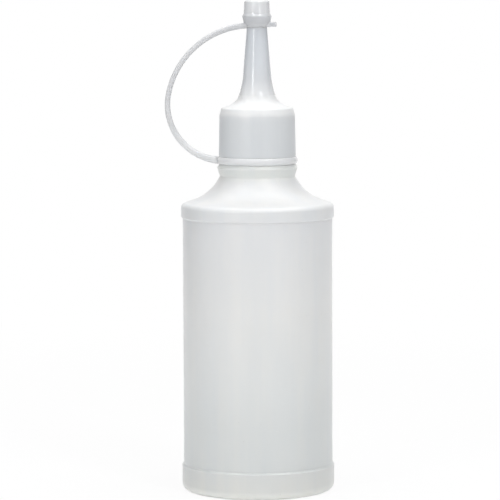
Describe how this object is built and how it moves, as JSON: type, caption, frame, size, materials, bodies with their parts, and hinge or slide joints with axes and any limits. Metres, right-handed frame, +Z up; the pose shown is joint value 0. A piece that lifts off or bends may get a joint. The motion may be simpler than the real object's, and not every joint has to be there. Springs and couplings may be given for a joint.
{
  "type": "nozzle-cap bottle",
  "caption": "Round squeeze bottle of translucent plastic with a screw-on nozzle cap, a long tapered spout and a tip cap on a swivel tether.",
  "frame": {"origin": "on the bottle's axis, in the plane of its foot", "axes": "+Z up along the bottle's axis, -X towards the tether strap, -Y towards the viewer of the picture"},
  "size_m": [0.0639, 0.058, 0.1863],
  "materials": {
    "bottle_polyethylene": "natural translucent low-density polyethylene, softly glossy",
    "cap_polyethylene": "natural translucent moulded polyethylene, glossy",
    "washer_foam": "white foamed polyethylene, matt"
  },
  "bodies": {
    "bottle": {"bottle": "bottle_polyethylene"},
    "seal": {"sealing_washer": "washer_foam"},
    "closure": {"nozzle_cap": "cap_polyethylene"},
    "tether": {"tether_ring": "cap_polyethylene", "tether_strap": "cap_polyethylene"},
    "tip": {"tip_cap": "cap_polyethylene"}
  },
  "joints": [
    {"name": "closure_rise", "type": "slide", "parent": "bottle", "child": "seal", "axis": [0, 0, 1], "range_m": [0, 0.006]},
    {"name": "closure_turn", "type": "hinge", "parent": "seal", "child": "closure", "pos_m": [0, 0, 0.143], "axis": [0, 0, 1], "range_deg": [0, 720]},
    {"name": "tether_swivel", "type": "hinge", "parent": "closure", "child": "tether", "pos_m": [0, 0, 0.1261], "axis": [0, 0, 1], "continuous": true},
    {"name": "tip_cap_pull", "type": "slide", "parent": "tether", "child": "tip", "axis": [0, 0, 1], "range_m": [0, 0.012], "deforming": ["tether_strap"]}
  ],
  "couplings": [
    {"joint": "closure_turn", "follows": "closure_rise", "rad_per_m": 2094.4}
  ]
}
